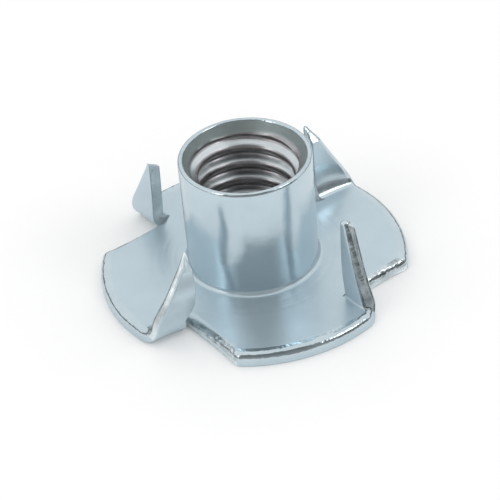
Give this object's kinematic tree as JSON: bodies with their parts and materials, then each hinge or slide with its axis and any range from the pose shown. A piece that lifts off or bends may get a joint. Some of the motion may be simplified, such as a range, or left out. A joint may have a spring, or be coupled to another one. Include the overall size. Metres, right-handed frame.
{
  "type": "tee nut",
  "caption": "Pronged tee nut: a pressed steel flange with upturned chisel prongs and a drawn barrel with an internal thread, for fastening a bolt in timber.",
  "frame": {"origin": "on the axis of the bore, at the flat face of the flange", "axes": "+Z along the bore, from the flat face towards the mouth of the barrel; +X along the fold of one prong"},
  "size_m": [0.0222, 0.0222, 0.0098],
  "materials": {
    "zinc_plated_steel": "bright zinc plate with a cool blue tint, satin, with sheared edges a little rougher"
  },
  "bodies": {
    "root": {"tee_nut": "zinc_plated_steel"}
  },
  "joints": []
}
